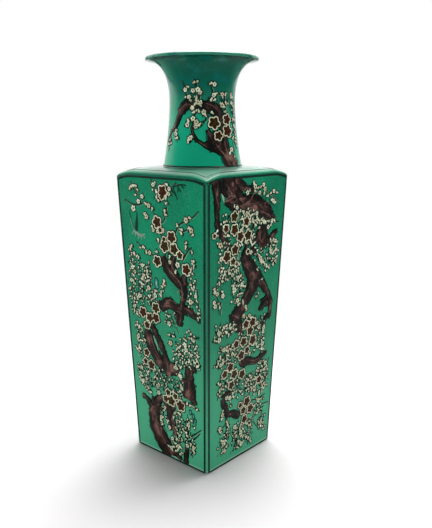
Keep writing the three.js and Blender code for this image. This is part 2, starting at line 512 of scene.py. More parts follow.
GLAZE_DEEP = (0.0012, 0.160, 0.080)
GLAZE_FULL = (0.0022, 0.245, 0.120)
GLAZE_PALE = (0.075, 0.42, 0.24)
GLAZE_SPECK = (0.09, 0.38, 0.25)
# Painted light: a brighter green all round the neck's foot
GLAZE_NECK_FOOT_LIGHT = (0.004, 0.345, 0.195)
# A deeper, bluer green on the flare, darkened further as painted shade under it
GLAZE_FLARE = (0.0012, 0.165, 0.100)
# Pale glaze for thin glaze and painted highlight; dark glaze for pooled glaze and painted shade
GLAZE_THIN_AND_HIGHLIGHT = (0.36, 0.60, 0.48)
GLAZE_POOL_AND_SHADE = (0.0007, 0.078, 0.050)
GLAZE_CLOUD = (0.0015, 0.108, 0.090)
BODY_SPAN = (0.0, 0.36)
NECK_FOOT_SPAN = (0.362, 0.366)
FLARE_SPAN = (0.405, 0.470)
CLOUD_SPAN = (0.445, 0.462)


def green_glaze():
    glaze = new_material("green_glaze")
    broad = glaze.noise(16, 4.0, 0.62, glaze.mapped(glaze.coordinate(), (1, 1, 0.45)))
    color = glaze.ramp(broad, [(0.32, GLAZE_DEEP), (0.66, GLAZE_FULL)])
    # Paler glaze towards the bottom, made paler still as painted light bounced from the floor
    low = glaze.ramp(glaze.height_share(*BODY_SPAN), [(0.0, 0.84), (0.2, 0.62), (0.45, 0.27), (0.95, 0.0)])
    specks = glaze.ramp(glaze.noise(520, 2.0), [(0.5, 0.0), (0.78, 0.3)])
    for share, tint in (
        (low, GLAZE_PALE),
        (specks, GLAZE_SPECK),
        # painted light on the neck's foot
        (glaze.height_share(*NECK_FOOT_SPAN), GLAZE_NECK_FOOT_LIGHT),
        # deeper green with painted shade on the flare
        (glaze.height_share(*FLARE_SPAN), GLAZE_FLARE),
        # thin glaze with painted highlight, then pooled glaze with painted shade, by the coat's shares
        (glaze.attribute("thin_and_highlight"), GLAZE_THIN_AND_HIGHLIGHT),
        (glaze.attribute("pool_and_shade"), GLAZE_POOL_AND_SHADE),
    ):
        color = glaze.mix(share, color, tint)
    cloud = glaze.ramp(glaze.noise(62, 3.0, 0.6), [(0.5, 0.0), (0.64, 0.9)])
    color = glaze.mix(glaze.height_share(*CLOUD_SPAN), color, glaze.mix(cloud, color, GLAZE_CLOUD))
    return glaze.surface(color, 0.13, glaze.noise(55, 2.0), 0.22, 0.0006)


def toned_enamel(name, first, second, scale, rough):
    """An enamel between two colours, by each stroke's own tone and a fine unevenness."""
    enamel = new_material(name)
    uneven = enamel.noise(scale)
    plain, other = (enamel.ramp(uneven, [(0.3, dark), (0.7, light)]) for dark, light in (first, second))
    return enamel.surface(enamel.mix(enamel.attribute("tone"), plain, other), rough, uneven, 0.2, 0.0003)


def bark_enamel():
    """Streaks along the branch and darker blotches, both shifted by each vertex's tone."""
    bark = new_material("bark_enamel")
    along = bark.node("CombineXYZ", {"X": bark.attribute("along"), "Y": bark.attribute("across")})
    streak = bark.noise(1.0, 5.0, 0.7, bark.mapped(along, (0.07, 0.24, 1)))
    total = bark.noise(75, 3.0, 0.6)
    for value in (streak, bark.attribute("tone")):
        total = bark.node("Math", {0: total, 1: value}, operation="ADD")
    shade = bark.ramp(bark.smooth_step(total, 0.72, 1.5), BARKS)
    return bark.surface(shade, 0.3, streak, 0.35, 0.0005)


def plain_ceramic(name, stops, scale, rough):
    ceramic = new_material(name)
    uneven = ceramic.noise(scale, 4.0, 0.6)
    return ceramic.surface(ceramic.ramp(uneven, stops), rough, uneven, 0.3, 0.0004)


BARKS = (
    (0.30, (0.0022, 0.0038, 0.0020)),
    (0.50, (0.019, 0.0076, 0.0056)),
    (0.66, (0.054, 0.021, 0.016)),
    (0.92, (0.25, 0.125, 0.10)),
)
CREAMS = ((0.50, 0.58, 0.375), (0.81, 0.86, 0.67))
ROSES = ((0.40, 0.36, 0.20), (0.68, 0.62, 0.42))
REDS = ((0.028, 0.0055, 0.0015), (0.065, 0.015, 0.0035))
OLIVES = ((0.018, 0.009, 0.0008), (0.050, 0.028, 0.0020))
INKS = ((0.0016, 0.0058, 0.0030), (0.0050, 0.013, 0.0075))
LINE_GREENS = ((0.0015, 0.036, 0.022), (0.003, 0.060, 0.040))
PALE_GREENS = ((0.16, 0.36, 0.23), (0.34, 0.52, 0.36))
LEAF_GREENS = ((0.012, 0.10, 0.035), (0.03, 0.19, 0.07))
BLUES = ((0.003, 0.11, 0.10), (0.01, 0.25, 0.21))
GREYS = ((0.09, 0.17, 0.13), (0.28, 0.36, 0.30))
BISCUITS = ((0.35, (0.46, 0.40, 0.31)), (0.7, (0.62, 0.56, 0.46)))
INNERS = ((0.3, (0.42, 0.50, 0.43)), (0.75, (0.55, 0.61, 0.52)))

GREEN = green_glaze()
BARK = bark_enamel()
CREAM = toned_enamel("cream_enamel", CREAMS, ROSES, 260, 0.22)
HEART = toned_enamel("heart_enamel", REDS, OLIVES, 300, 0.18)
INK = toned_enamel("ink_line", INKS, LINE_GREENS, 90, 0.16)
PALE = toned_enamel("pale_enamel", PALE_GREENS, LEAF_GREENS, 240, 0.2)
BLUE = toned_enamel("turquoise_enamel", BLUES, GREYS, 240, 0.2)
BISCUIT = plain_ceramic("biscuit", BISCUITS, 90, 0.85)
INNER = plain_ceramic("inner_glaze", INNERS, 30, 0.25)


# Glaze coat over the walls, shoulder and neck, and down the inside of the neck

def neck_profile():
    """Radius, height and thinness of the coat from the neck's foot over the lip and down the bore."""
    outside = [(neck_radius(z), z) for z in spaced(NECK_COAT_START, WAIST_HEIGHT, NECK_RINGS)]
    for angle in spaced(0, math.pi / 2, FLARE_RINGS)[1:]:
        across = max(0.0, math.cos(angle)) ** (2 / FLARE_SWEEP)
        up = math.sin(angle) ** (2 / FLARE_SWEEP)
        outside.append((WAIST_RADIUS + FLARE_SPREAD * (1 - across), WAIST_HEIGHT + FLARE_CLIMB * up))
    profile, inside = [], []
    for i, (r, z) in enumerate(outside):
        run, rise = direction(outside, i)
        near_lip = max(0.0, (r - MOUTH_RADIUS + LIP_THIN_REACH) / LIP_THIN_REACH)
        profile.append((r + rise * COAT, z - run * COAT, LIP_THIN * near_lip ** 2))
        share = WAIST_SHARE * min(1.0, i / NECK_RINGS)
        share += (1 - WAIST_SHARE) * max(0.0, (i - NECK_RINGS) / FLARE_RINGS)
        wall = NECK_WALL + (LIP_WALL - NECK_WALL) * share + COAT
        inside.append((r - rise * wall, z + run * wall, 0.0))
    inside[-1] = (outside[-1][0], TOTAL_HEIGHT + COAT, RIM_THIN)
    reach = LIP_RADIUS + COAT
    for angle in spaced(-math.pi / 2, math.pi / 2, LIP_STEPS)[1:-1]:
        r = MOUTH_RADIUS - LIP_RADIUS + reach * math.cos(angle)
        z = TOTAL_HEIGHT - LIP_RADIUS + reach * math.sin(angle)
        profile.append((r, z, LIP_EDGE_THIN + RIM_THIN * math.cos(angle)))
    return [*profile, *inside[::-1], (inside[0][0], SPIGOT_FOOT + 1, 0.0)]


def coat_wall(point, side):
    """Places up the wall, each with its shares of pale and dark glaze: thin glaze at the foot, thin glaze
    and a painted highlight on the corners, pooled glaze beside them, and painted shade at the top under the
    rolled edge.
    """
    section = []
    top = top_of(point)
    walls = spaced(COAT_START, top - TOP_RINGS[0], WALL_RINGS)[1:]
    for z in (COAT_START, *FOOT_RINGS, *walls, *(top - below for below in TOP_RINGS[1:])):
        out = COAT if z > COAT_START else 0.0
        x, y = outline_at(point, z)
        if abs(point[0]) >= 1 - 1e-6:
            cy = CORNER_RADIUS - half_at(z)
            cx = math.copysign(cy, point[0])
            size = math.hypot(x - cx, y - cy)
            x = cx + (x - cx) * (size + out) / size
            y = cy + (y - cy) * (size + out) / size
        else:
            y -= out
        from_corner = half_at(z) - abs(x)
        # thin glaze on the corner, brightened into a painted highlight
        corner = CORNER_THIN_AND_HIGHLIGHT * max(0.0, 1 - from_corner / CORNER_HIGHLIGHT_REACH)
        thin_and_highlight = max(corner, FOOT_THIN * max(0.0, 1 - abs(z - FOOT_THIN_HEIGHT) / FOOT_THIN_REACH))
        climbed = CORNER_POOL * clamp((z - CORNER_POOL_FROM) / CORNER_POOL_CLIMB)
        pool_and_shade = climbed * clamp(1 + CORNER_POOL_FULL - from_corner / CORNER_POOL_REACH) * (1 - thin_and_highlight)
        # painted shade in the crease under the rolled edge
        if z > top - WALL_TOP_SHADE_REACH:
            pool_and_shade = WALL_TOP_SHADE
        section.append((Vector((*turned(x, y, side), z)), thin_and_highlight, pool_and_shade))
    return section


def coat_shoulder(point, side):
    """Places over the rolled edge and the dome, with their shares: painted highlight and reflection up the
    roll and over the dome, with thin glaze on the crest, and painted shade on the roll's lower half.
    """
    section = []
    for i, place in enumerate(shoulder_section(point, side)):
        crown = min(1.0, i / ROLL_STEPS)
        inward = max(0.0, i / ROLL_STEPS - 1)
        # painted highlight and reflection up the roll and over the dome, painted shade on the roll's lower
        # half
        thin_and_highlight = (1.0 - DOME_HIGHLIGHT_LOSS * min(1.0, 2 * inward)) * crown ** ROLL_THIN_HIGHLIGHT_POWER
        section.append((place, thin_and_highlight, max(0.0, ROLL_SHADE - ROLL_SHADE_LOSS * crown)))
    return section


def coat_neck(outward, profile):
    """Places from the collar over the lip and down the bore, in one direction, with their shares; near the
    diagonal toward the camera painted shade darkens the flare and the top of the bore and takes pale glaze
    off the lip and flare, and to the sides painted light brightens the flare.
    """
    rings = [(r, z, COLLAR_THIN, 0.0) for r, z in COLLAR_RINGS]
    facing = clamp((abs(outward.dot(FRONT_CORNER)) - FACING_FROM) / FACING_REACH)
    for r, z, thin_and_highlight in profile:
        # painted shade along the diagonal toward the camera, painted light on the flare's sides
        flare = clamp((z - FLARE_LIGHTING_FROM) / (FLARE_LIGHTING_FULL - FLARE_LIGHTING_FROM))
        if z > TOTAL_HEIGHT - LIP_BAND:
            rings.append((r, z, thin_and_highlight * (1 - LIP_BAND_SHADE * facing), 0.0))
        else:
            rings.append((r, z, (thin_and_highlight + FLARE_SIDE_LIGHT * flare) * (1 - facing), FLARE_SHADE * flare * facing))
    return [(outward * r + Vector((0, 0, z)), thin_and_highlight, pool_and_shade) for r, z, thin_and_highlight, pool_and_shade in rings]


def glaze_coat():
    profile = neck_profile()
    sections = []
    for point, side in body_outline():
        shoulder = coat_shoulder(point, side)
        outward = Vector((*shoulder[-1][0].xy, 0)).normalized()
        sections.append([*coat_wall(point, side), *shoulder, *coat_neck(outward, profile)])
    count = len(sections[0])
    vertices, thin_and_highlight, pool_and_shade = zip(*(vertex for section in sections for vertex in section))
    faces = []
    for s in range(len(sections)):
        here = s * count
        there = ((s + 1) % len(sections)) * count
        for i in range(count - 1):
            faces.append((here + i, there + i, there + i + 1, here + i + 1))
    piece = make_object("glaze_coat", vertices, faces, GREEN, {"thin_and_highlight": thin_and_highlight, "pool_and_shade": pool_and_shade})
    shell = piece.modifiers.new("thickness", "SOLIDIFY")
    shell.thickness = COAT_SHELL * MM
    shell.offset = -1


# Border lines

def ring_stroke(name, places, radius, tall=0.35):
    """A thin flattened bead of paint along a closed ring of places."""
    vertices, faces = [], []
    sides = 6
    count = len(places)
    for i, place in enumerate(places):
        ahead = (places[(i + 1) % count] - places[i - 1]).normalized()
        outward = Vector((place.x, place.y, 0)).normalized()
        up = ahead.cross(outward).normalized()
        across = up.cross(ahead).normalized()
        for angle in around(sides):
            vertices.append(place + across * radius * math.cos(angle) + up * tall * radius * math.sin(angle))
        j = (i + 1) % count
        for k in range(sides):
            m = (k + 1) % sides
            faces.append((i * sides + k, j * sides + k, j * sides + m, i * sides + m))
    make_object(name, vertices, faces, INK)


def border_lines():
    for side, name in enumerate(("front", "right", "back", "left")):
        paint = Enamel(partial(face_point, side))
        heights = spaced(FOOT_LINE_AND_SHADOW, edge_height(LINE_INSET) - TOP_LINE, BORDER_STEPS)
        for sign in (-1, 1):
            path = [(sign * (half_at(z) - LINE_INSET), z, LINE_WIDTH) for z in heights]
            paint.stroke(path, BORDER, 2, SIDE_LINE_TONE)
        # the bottom line, widened to be also a painted contact shadow along the foot
        half = half_at(FOOT_LINE_AND_SHADOW) - LINE_INSET
        path = [(u, FOOT_LINE_AND_SHADOW, FOOT_LINE_AND_SHADOW_WIDTH) for u in spaced(-half, half, BORDER_STEPS // 2)]
        paint.stroke(path, BORDER, 2, SIDE_LINE_TONE)
        path = []
        reach = half_at(WALL_HEIGHT) - LINE_INSET + LINE_WIDTH / 2
        for u in spaced(-reach, reach, BORDER_STEPS):
            width = LINE_WIDTH * (0.9 + 0.5 * (abs(u) / reach) ** 6)
            path.append((u, edge_height(SHOULDER_HALF - abs(u)) - TOP_LINES[side], width))
        paint.stroke(path, BORDER, 2, TOP_LINE_TONE)
        paint.piece(f"border_{name}", INK, "black_line")
    crest = [shoulder_section(point, side, 0.06)[ROLL_STEPS + 1] for point, side in body_outline()]
    ring_stroke("shoulder_line", crest, 0.8)
    ring = [neck_point(PAINT_RADIUS * angle, NECK_LINE, 0.1) for angle in around(160)]
    ring_stroke("neck_line", ring, 0.9, 1.2)


# Prunus painting

def starred(radius, depth=0.27, sharp=0.9):
    """Outline with five petals, which are the more pointed the larger sharp is."""
    def reach(angle):
        return radius * (1 - depth + depth * abs(math.cos(2.5 * angle)) ** sharp)
    return 30, reach


def oval(length, width, count):
    """Outline of an oval, as a count of points and a radius for an angle."""
    def reach(angle):
        return length * width / math.hypot(width * math.cos(angle), length * math.sin(angle))
    return count, reach


class Panel:
    """The enamels of one painted surface."""

    # The unevenness of a branch's edges, as swellings, knobs and nicks: length, height and row in the noise
    WAVES = ((8.5, 1.6, 0), (3.4, 1.5, 9), (1.3, 1.0, 17))

    def __init__(self, name, surface, seed):
        self.name = name
        self.random = random.Random(seed)
        self.draw = self.random.uniform
        self.pick = self.random.choice
        enamels = [Enamel(surface) for _ in range(7)]
        self.bark, self.edge, self.ink, self.pale, self.cream, self.heart, self.blue = enamels

    def trunk(self, points):
        """A branch with knobbly bark, each edge swelling on its own, and with short stubs."""
        path = smooth_path(points, 0.9)
        broad = max(point[2] for point in points)
        # Branches that start low are made lighter, as painted light from low down; the rest of the shift
        # darkens all bark a little
        tone = 0.05 * max(0.0, 1 - points[0][1] / 200) - 0.09
        seed = self.draw(0, 500)
        rough = []
        for (x, y, width), travelled in zip(path, travel(path)):
            width = max(0.4, width)
            edges = []
            for row in (0.0, 40.0):
                bumps = 0.0
                for length, height, shift in self.WAVES:
                    bumps += height * perlin.noise(Vector((travelled / length, seed, row + shift)))
                edges.append(max(0.3, width / 2 - 0.3 + min(1.0, width / 8) * bumps))
            rough.append((x, y, *edges))
        self.edge.stroke([(x, y, r + 1.9, l + 1.9) for x, y, r, l in rough], BRANCH_EDGE)
        self.bark.stroke(rough, BRANCH, 8 if broad > 8 else 4, tone=tone, seed=seed, lumps=0.12, crown=0.22)
        if broad > 8:
            for _ in range(len(rough) // 5):
                self.crack(rough)
        if broad > 5:
            for i in range(3, len(rough) - 3, self.random.randint(8, 13)):
                self.stub(rough[i - 1], rough[i + 1], self.pick((-1, 1)))

    def crack(self, rough):
        """A fine dark or light line along the bark."""
        length = self.random.randint(4, 11)
        start = self.random.randint(0, max(0, len(rough) - length))
        share, drift = self.draw(-0.8, 0.8), self.draw(-0.04, 0.04)
        line = []
        for i, (x, y, right, left) in enumerate(rough[start:start + length]):
            dx, dy = direction(rough, start + i)
            offset = min(right, left) * (share + drift * i)
            line.append((x - dy * offset, y + dx * offset, 0.9))
        if len(line) > 1:
            self.bark.stroke(line, CRACK, tone=self.pick((-0.8, -0.8, 0.3)))

    def stub(self, before, after, side):
        """A broken twig or knot at one edge of a branch."""
        x, y = (before[0] + after[0]) / 2, (before[1] + after[1]) / 2
        angle = math.atan2(after[1] - before[1], after[0] - before[0]) + side * self.draw(0.7, 1.9)
        reach = before[3] if side > 0 else before[2]
        length = self.draw(0.8, 3.4)
        start, end = polar(x, y, angle, 0.7 * reach), polar(x, y, angle, reach + length)
        thick = self.draw(1.4, 2.6)
        self.edge.stroke([(*start, thick + 2.0), (*end, 0.5 * thick + 1.4)], BRANCH_EDGE)
        self.bark.stroke([(*start, thick), (*end, 0.5 * thick)], STUB, 2, seed=length)

    def twig(self, points, width=1.8):
        """A dark tapering line with a thin pale one beside it."""
        path = smooth_path(points, 1.5)
        count = max(1, len(path) - 1)
        tapered = [(x, y, width * (1.55 - 0.65 * i / count)) for i, (x, y) in enumerate(path)]
        self.ink.stroke(tapered, TWIG)
        beside = [(x + 0.9 * width, y - 0.6 * width, 0.2 * w) for x, y, w in tapered[:-1]]
        self.pale.stroke(beside, TWIG_LIGHT, tone=self.pick((0.0, 0.3)))

    def blossom(self, x, y, radius):
        """Five pale petals in a dark outline, with a darker star in the middle."""
        turn = self.draw(0, 2 * math.pi)
        self.edge.dab(x, y, starred(radius + 1.7, 0.2), PETAL_EDGE, turn=turn)
        self.cream.dab(x, y, starred(radius + 0.3), BLOSSOM, 0.3, (0.95, 0.8), turn)
        tone = self.pick((0.0, 0.1, 0.4, 0.9, 1.0))
        self.heart.dab(x, y, starred(radius - 0.8, 0.33, 1.3), BLOSSOM_HEART, tone, (0.92, 0.5), turn)

    def bud(self, x, y, radius, tone=None):
        """Round petals over dark rims: one, two side by side, or five round a dark middle."""
        tone = self.pick((0.0, 0.0, 0.3, 0.7)) if tone is None else tone
        turn = self.draw(0, 2 * math.pi)
        if radius > 1.8:
            side = self.pick((-1, 1)) * (radius + 1.0)
            lean = self.random.gauss(math.pi / 2, 0.5)
            self.ink.dab(x + side, y - 0.4 * radius, oval(2.4, 1.1, 8), CALYX, 0.5, turn=lean)
            for _ in range(3):
                angle = self.draw(0, 2 * math.pi)
                ends = (0.8 * radius, radius + self.draw(1.6, 2.8))
                whisker = [(*polar(x, y, angle, reach), 1.2) for reach in ends]
                self.ink.stroke(whisker, WHISKER, tone=self.pick((0.3, 0.8)))
        if radius < 1.7:
            petals = [(0.0, 0.0, 0.9)]
        elif radius < 2.5:
            petals = [(0.2, 0.0, 0.8), (0.95, 2.6, 0.5)]
        else:
            petals = [(0.64, angle, 0.44) for angle in around(5)]
            self.heart.dab(x, y, oval(radius * 0.4, radius * 0.36, 6), BUD_HEART, 0.3)
        for offset, angle, share in petals:
            middle = polar(x, y, angle + turn, radius * offset)
            size = radius * share
            lean = math.pi / 2 + self.draw(-0.6, 0.6)
            self.edge.dab(*middle, oval(size * 1.15 + 1.2, size * 0.9 + 1.2, 9), PETAL_EDGE, 0.35, turn=lean)
            self.cream.dab(*middle, oval(size * 1.15, size * 0.9, 9), PETAL, tone, turn=lean)

    def spray(self, x0, y0, x1, y1, count):
        """A slightly bent twig with buds to either side of it in turn."""
        bend = self.draw(-0.1, 0.1)
        mx = (x0 + x1) / 2 - (y1 - y0) * bend
        my = (y0 + y1) / 2 + (x1 - x0) * bend
        self.twig([(x0, y0), (mx, my), (x1, y1)], 1.5)
        dx, dy = direction([(x0, y0), (x1, y1)], 0)
        for i in range(count):
            t = (i + self.draw(0.3, 0.9)) / count
            cx = (1 - t) ** 2 * x0 + 2 * t * (1 - t) * mx + t * t * x1
            cy = (1 - t) ** 2 * y0 + 2 * t * (1 - t) * my + t * t * y1
            side = self.draw(0.5, 1.0) * (2 if i % 2 else -2)
            bx, by = cx - dy * side, cy + dx * side
            self.ink.stroke([(cx, cy, 1.1), (bx, by, 1.1)], STALK)
            self.bud(bx, by, self.draw(1.0, 1.75))

    def scatter(self, x0, x1, y0, y1, count):
        """Small buds, leaf flecks and twig ends that fill a part of the panel."""
        for _ in range(round(SCATTER_DENSITY * count)):
            x, y = self.draw(x0, x1), self.draw(y0, y1)
            angle = self.random.gauss(math.pi / 2, 0.6)
            end = polar(x, y, angle, self.draw(2, 5))
            nearby = (x + self.draw(-3, 3), y + self.draw(-3, 3))
            tip = (nearby[0] + self.draw(-1.5, 1.5), nearby[1] + self.draw(2, 4))
            self.ink.stroke([(*nearby, 1.3), (*tip, 0.8)], FLECK, tone=0.75)
            kind = self.random.random()
            if kind < 0.32:
                self.ink.stroke([(x, y, 1.2), (*end, 1.1)], TWIG)
                self.bud(*end, self.draw(1.0, 1.7))
            elif kind < 0.78:
                self.ink.stroke([(x, y, 1.3), (*end, 2.6)], TWIG, tone=self.pick((0.0, 0.4, 0.8)))
            else:
                self.pale.stroke([(x, y, 0.8), (*end, 1.5)], PALE_LEAF, tone=self.pick((0.0, 0.2, 0.6)))

    def finish(self):
        for enamel, label, material, slot in (
            (self.edge, "outlines", INK, "black_line"),
            (self.bark, "branches", BARK, "aubergine_enamel"),
            (self.ink, "twigs", INK, "black_line"),
            (self.pale, "leaves", PALE, "turquoise_enamel"),
            (self.cream, "petals", CREAM, "cream_enamel"),
            (self.heart, "hearts", HEART, "aubergine_enamel"),
            (self.blue, "birds", BLUE, "turquoise_enamel"),
        ):
            enamel.piece(f"{self.name}_{label}", material, slot)


# Designs in millimetres. Commas part points or items, and semicolons part lines. A point is x and z,
# with a width in trunks, wings and the bird. Blues are x, z, length and width; roses, blossoms and buds
# are x, z and radius, which common buds leave out; sprays are the two ends and a number of buds;
# scatters are low x, high x, low z, high z and a count that SCATTER_DENSITY enlarges.
FRONT = {
"trunks": """
2 263 5, 5 256 10, 8 250 13, 14 244 14, 22 238 12, 30 233 14, 34 227 12, 34 219 9, 32.5 212 7, 31 205 12,
29 199 14;
22 265 4, 19 260 8, 18 253 6, 21 246 8, 26 240 9;
25 261 3, 24 255 3, 26 251 1.5;
38 245 5, 36 240 9, 36 233 9;
30 201 12, 20 203 11, 12 206.5 13, 4 205 13, -3 202 11, -9 206 3;
3 200 6, -4 195 2;
28 204 14, 26 193 12, 25 186 11, 25 181 7;
30 203 14, 40 204 10, 48 200.5 7.5, 55 196 4, 58 191 2;
-31 170 5, -30 160 14, -27 148 15, -19 137 16, -11 127 15, -3 118 14;
-22 174 6, -16 163 8, -8.5 151 9, -3 141 8, -1 132 11, 2 121 16, 4 112 8;
-4 124 14, 8 123 15, 16 121.5 10, 23 123 5;
7 128 6, 15 130 4;
41 135 7, 39 127 13, 38.5 117 16, 38.5 107 19, 37 97 21, 36 90 14;
34 112 8, 27 113 6, 21 113 2.5;
42 132 7, 48 131 4, 51 130 1.5;
41 93 9, 47 90 5, 50 90 1.5;
-48 73 2.5, -43 72.5 6, -37 70 7, -32 64 12;
-11 80 8, -17 75 12, -22 67 19, -25 60 21, -26.5 50 19, -26 42 22, -23.5 34 25, -18 26 26, -11 18 26,
-4 10 24, 2 4 16;
-27 77 2, -27 71 6, -27 64 8;
0 11 8, 9 10 7, 16 7 5, 20 4 3;
-9 78 5, -1 72 9, 2 64 9, 3 56 11, 7 48 10, 10 41 9, 10 34 7;
3 68 7, 9 72 5, 13 74 2;
29.5 25 5, 29 17 6, 27.5 8 6.5, 27 3 8""",
"veins": """
10 250, 20 242, 28 236, 32 226, 32 214;
24 222, 29 226, 34 222, 30 217;
29 196, 27 190, 26 184;
22 208, 12 211, 4 208;
-26 160, -20 144, -12 132;
-2 140, 2 128, 2 116;
38 118, 37 106, 36 96;
-34 66, -28 62, -22 66;
-28 54, -30 44, -28 34, -22 26;
-14 38, -14 28, -8 20;
6 62, 10 50""",
"twigs": """
-47 348, -42 338, -34 332, -22 322, -12 316, -5 307;
-60 325, -50 321, -38 320, -28 323;
-12 352, -8 344, -2 341;
24 292, 30 302, 41 308, 52 313, 62 321;
30 302, 36 296, 46 300;
-43 275, -33 270, -25 264, -16 262, -8 262;
-2 296, 2 285, 5 272, 7 262;
12 268, 10 258;
28 86, 40 84, 54 81;
28 36, 42 46, 55 57;
32 34, 44 42, 53 52;
34 262, 44 275, 50 279;
12 322, 8 308, 0 300;
4 196, 14 188, 24 172;
-10 76, -16 62, -14 46, -4 34""",
"dark_leaves": """
18 341, 27 346, 35 348, 44 348;
24 344, 27 335;
30 346, 36 340;
26 340, 30 331;
12 330, 17 324;
23 345, 29 350;
32 347, 31 339;
21 342, 24 338;
36 348, 41 344""",
"slivers": """
-21 159, -17.5 152, -14.5 144, -12 138""",
"wings": """
-53 312 1, -51 305 1.8, -49 298 1.8, -46 291 1.2;
-39 312 1, -40 304 3.6, -41 296 6, -41 288 3;
-44 294 1, -43 288 2""",
"bird": """
-51 303 1, -49 295 1.4, -46 289 2.4, -42 286 3.2, -37 284 4, -32 284 3.6, -27 286 1;
-47 288 2, -50 283 1;
-44 286 2, -45 281 1;
-40 285 2, -39 279 1;
-35 284 2, -33 279 1;
-31 284 2, -27 281 1""",
"blues": """
-11 228 7.5 4.2, -10 224 3 3.6, 38 75 3.4 2.4, 43 71 4 2, 46 66 2.6 1.6""",
"scatters": """
-60 -20 198 248 60, -52 -4 88 114 90, -4 24 88 110 40, 16 56 132 172 36, 12 44 20 66 36,
40 57 198 238 16, -52 -36 124 170 20, 0 20 178 194 10""",
"sprays": """
-55 180 -60 214 8, -46 178 -52 236 14, -36 195 -40 252 14, -28 200 -30 250 12, -20 204 -22 244 9,
-14 203 -12 220 5, -5 212 5 235 6, -48 195 -56 206 4, -50 240 -56 270 7, -56 232 -50 262 7,
44 240 52 262 6, 40 208 50 240 9, 58 196 50 236 9, -50 145 -48 172 6, -40 142 -44 170 6,
40 128 42 180 12, 30 130 36 172 10, 54 132 46 168 9, 22 118 20 158 8, 16 116 14 150 6, -44 128 -54 140 4,
-48 100 -54 116 5, -40 84 -50 100 5, -34 78 -44 94 5, 22 84 26 116 8, 12 28 16 70 9, 20 30 22 68 8,
28 30 34 66 8, 36 16 46 36 6, 40 26 38 44 4, -8 70 -16 44 6, -4 58 2 38 5, 2 12 22 30 6,
-48 98 -42 126 7, -18 102 -22 116 5, -38 96 -34 116 6, 26 132 28 166 8, 50 134 50 170 8""",
"buds": """
-50 339 1.9, -46.8 341.7 1.9, -42.7 342.5 2.2, -38.5 342.5 2, -36 338, -40 331.7 1.6, -28.5 330.8 2.6,
-35.5 324.5 2.8, -22.7 322.5 2.2, -17.7 321 2.8, -11.8 317.5 2, -45.2 315.5 3.6, -26 310.8 1.9,
-22.7 307.5 3, -8.5 345.8 2.6, -5 348.3 1.6, -9.7 340 1.5, 14 347 2.2, 17.5 342.5 2.4, 16.5 336.7 2.4,
-4 338 2.2, -4 332 2, -1 328 2, 12 333 2.2, 11.5 325.8, 9 316.7 2.2, 9.8 312.5 2, -13.5 296.7,
-12 292.5 2.4, -4.3 291.7 2.4, 5.7 294.2 2.2, -4 281.7 2.2, -7.7 266.7 2.2, 14 264 2, 14 257.5 2.4,
26.5 255.8 3.4, 22.3 246.7 2.2, 28 301.7, 34.8 297.5 2.2, 34 293.3 2.2, 42.3 309 3.2, 48 312.5,
49.8 298.3 3.2, 52.3 293.3, 46.5 300.8, 41.5 283.3, 40.7 278.3 2.2, 49.8 273.3, 51.5 263.3 2.2,
52.3 258.3, -54.3 265, -51.8 269, -47.7 259 2.2, -44 257 2, -40.2 255.8 2, -31 270 2.2, -36 268.3 1.6,
-26 264 2.2, -20 264 2.6, -22.7 251.7 1.6, -34.3 246.7 2.4, -52.7 241.7 2.6, -48.5 236.7 2.4,
-26.8 245.8, -26 240.8 2.2, -31.8 235 2.2, 2.3 232.5 2, -56 225 2.4, -52 224 2.2, -59 214, -36 230 2.2,
-34 233, -37 224 2, -25 234, -26 229, -25 220 3, -14 212.5 2.8, -13.5 218, -4.3 214 2, -3.5 218, -1 225,
1.5 229 2.2, -42.7 206.7 2.6, -46 204 2.2, -52.7 191.7 2.4, -53.5 186, -48.5 181.7, 7.3 190 1.6,
8.2 181 3, 46.5 235, 51.5 233, 44.8 215 3.2, 53.2 223 2.4, 57 204, 56 197, -48.5 167.5, -45 166.7 1.6,
-48.5 153 2.8, -50 149, -45 148, -36.8 150 2, -52.7 135 2, -46.8 136.7 2.2, 9 156.7 3.2, 7.3 166.7,
14 166.7, 37.3 176.7 1.5, 44 176 1.5, 44.8 170 2.2, 34 166, 33.2 160 3, 34.8 154 3, 22 154, 22.3 145 2,
43 150 2.2, 54 150, 47 141.7, 54 139, 17.3 134, 16.5 126.7 2.6, 24.5 129.5 2.2, 22.3 117.5 2.8,
-46 111.7 2.4, -45 93 2.8, -35 86 2, -31 81 2, -16 85 2.8, 24 117.5 2.6, 25 103 2.6, 33 85 2, 38 84 2,
44 83.5, 49 82 1.6, 11.5 66 2.2, 19 67.5 2, 9 59 2.2, -13.5 52.5 2.4, -14 48 2, -12 43 2, -6 67.5 2.4,
-3 50 2, 0.7 43 2.4, 34 56.7 3, 25 48 2.2, 30.7 41.7 2, 18 37.5 2, 41.5 30 2.2, 37 31.7 2.2, 30.7 28 2.6,
42 22.5 2.2, 5 29 2.6, 15 21.7 2.6, 19 21.7 2.2, 2.3 15 2.6, -2.7 16, 7 18 2.2, 10.5 14 2, 14 17 2.2,
17.5 12, 9 24 2.2, 12 30 2, 21 15, 22 33 2""",
"blossoms": """
6.5 339 8.5, 5 333 5, -5 302.5 8.5, 18 287 8.5, 6 275 8.5, 21.5 273.5 8, 30.5 267.5 6, -7.5 255.5 8,
40 252 8, -14 196.3 8, -37.5 186.8 8, -25.5 182 7.5, -14.5 183.5 7.5, -31 171.5 6.5, -34.5 134.3 6.5,
-27 119.5 7.5, -37.5 122 5.5, 6 80.3 8, -3.5 80.5 6, 22 78.5 8.5, 13.5 88.5 5.5, 1 90.5 5.5, 0 293.5 4.5,
5.5 283.5 4""",
}

